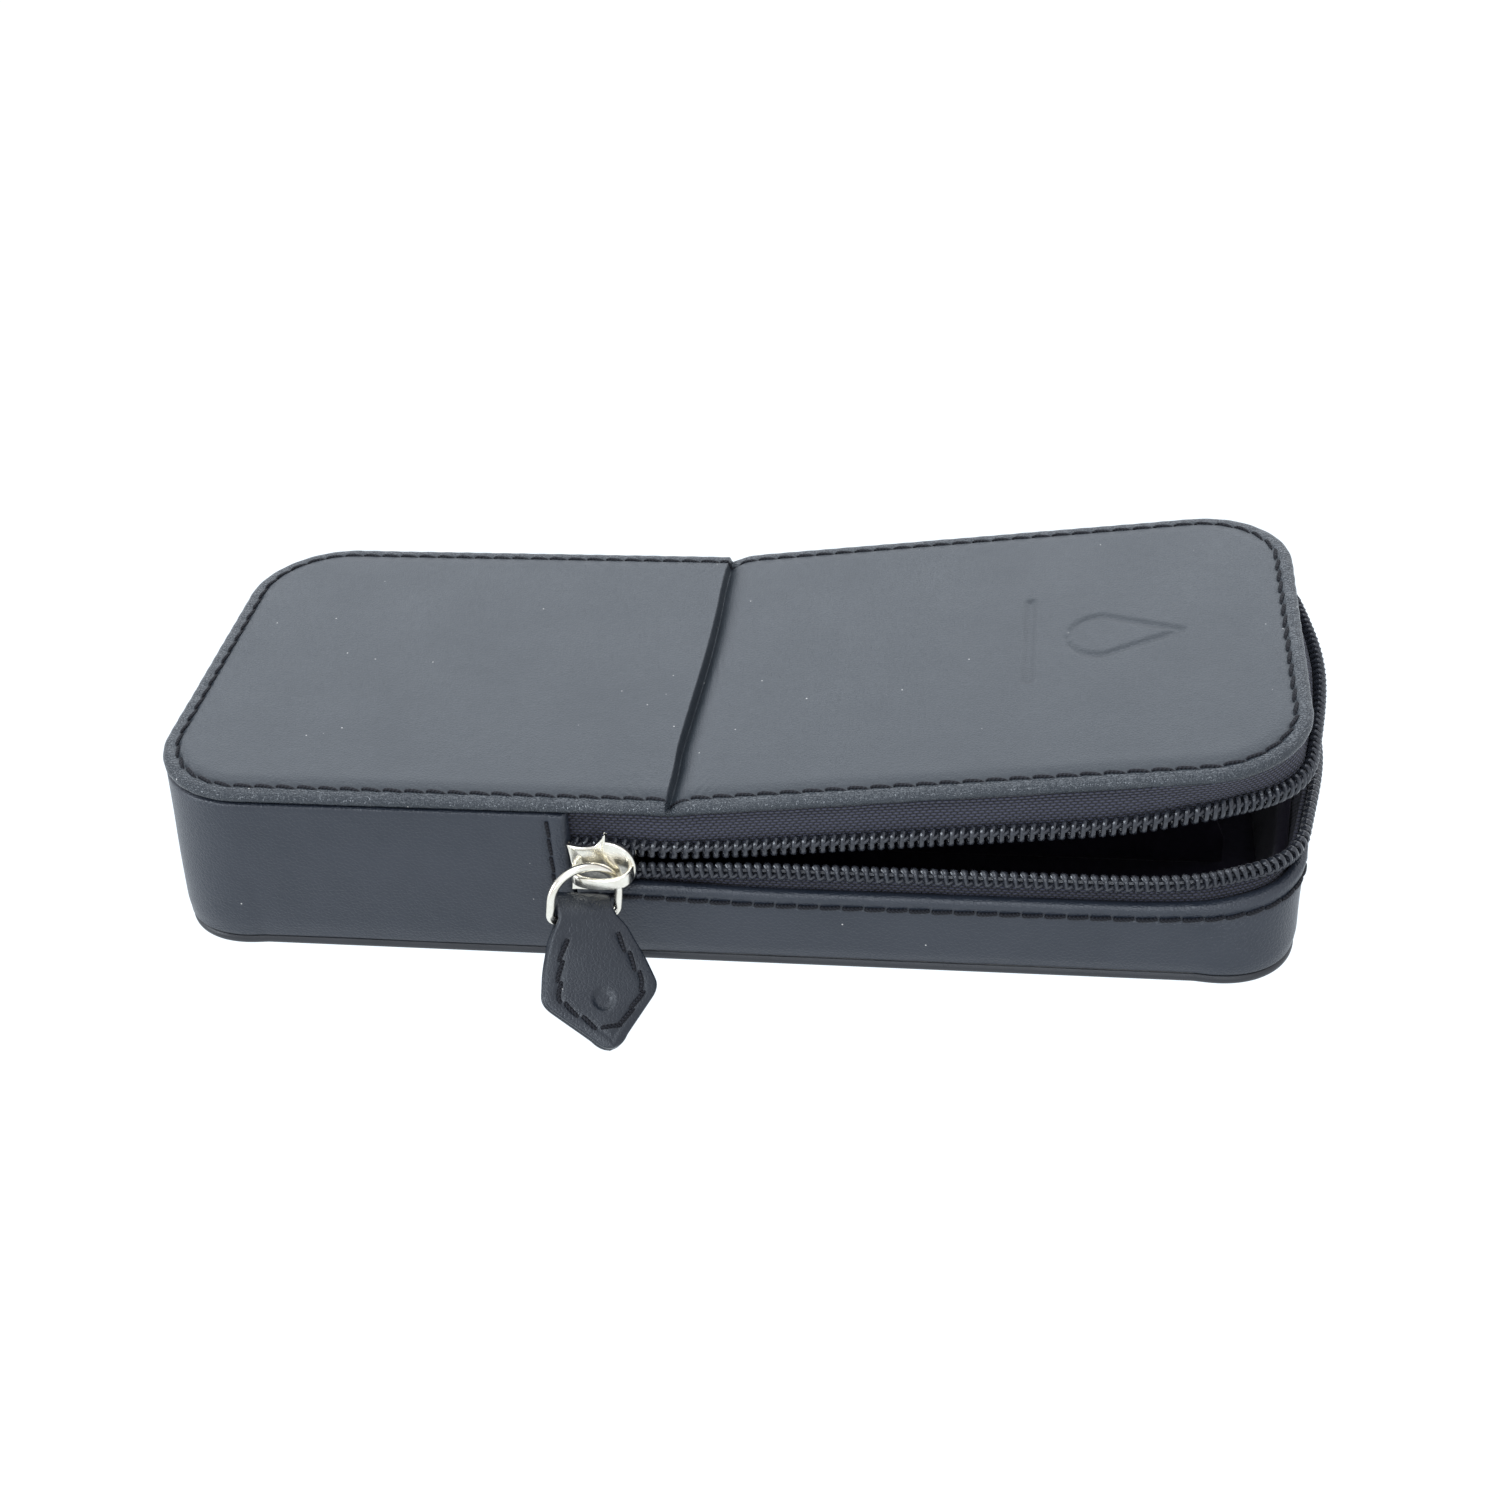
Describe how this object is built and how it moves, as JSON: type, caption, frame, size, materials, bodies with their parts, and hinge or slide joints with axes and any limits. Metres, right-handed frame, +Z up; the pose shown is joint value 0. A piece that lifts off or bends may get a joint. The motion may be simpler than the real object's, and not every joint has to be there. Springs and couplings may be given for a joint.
{
  "type": "fountain pen case",
  "caption": "Zip-up leather pen case: half of its top is fixed, the other half lifts at a leather crease once the zip that runs round it is open.",
  "frame": {"origin": "centre of the flat underside, on the surface the case lies on", "axes": "+X along the case towards the lid's free end, +Y towards the back, +Z up"},
  "size_m": [0.1682, 0.0904, 0.0391],
  "materials": {
    "leather": "smooth pebbled, semi-matt",
    "board": "raw",
    "suede": "napped",
    "tape": "woven twill",
    "coil": "smooth nylon",
    "nickel": "polished nickel plate"
  },
  "bodies": {
    "base": {"base_leather": "leather", "base_board": "board", "base_lining": "suede", "wall_leather": "leather", "wall_board_left": "board", "wall_lining_left": "suede", "band_leather": "leather", "wall_board_right": "board", "wall_lining_right": "suede", "seam_strip_front": "leather", "seam_strip_back": "leather", "fixed_cover_leather": "leather", "fixed_cover_board": "board", "fixed_cover_lining": "suede", "hinge_leather": "leather", "zip_tape_lower": "tape", "zip_coil_lower": "coil", "zip_tape_upper_fixed_front": "tape", "zip_coil_upper_fixed_front": "coil", "zip_tape_upper_fixed_back": "tape", "zip_coil_upper_fixed_back": "coil", "pen_divider_front": "suede", "pen_divider_back": "suede"},
    "lid": {"lid_leather": "leather", "lid_board": "board", "lid_lining": "suede", "zip_tape_upper_lid": "tape", "zip_coil_upper_lid": "coil"},
    "slider": {"slider_body": "nickel"},
    "ring": {"pull_ring": "nickel"},
    "tab": {"pull_tab_leather": "leather", "pull_tab_filler": "board"}
  },
  "joints": [
    {"name": "lid_hinge", "type": "hinge", "parent": "base", "child": "lid", "pos_m": [-0.0055, 0, 0.029], "axis": [0, -1, 0], "range_deg": [-6.5, 95], "deforming": ["hinge_leather"]},
    {"name": "zip_slide", "type": "slide", "parent": "base", "child": "slider", "axis": [1, 0, 0], "range_m": [0, 0.075]},
    {"name": "ring_swing", "type": "hinge", "parent": "slider", "child": "ring", "pos_m": [-0.0153, -0.0395, 0.018], "axis": [0.9077, -0.3304, -0.2588], "range_deg": [-100, 3]},
    {"name": "tab_swing", "type": "hinge", "parent": "ring", "child": "tab", "pos_m": [-0.01782, -0.04006, 0.01259], "axis": [0.8556, 0.4796, -0.1946], "range_deg": [-60, 50]}
  ]
}
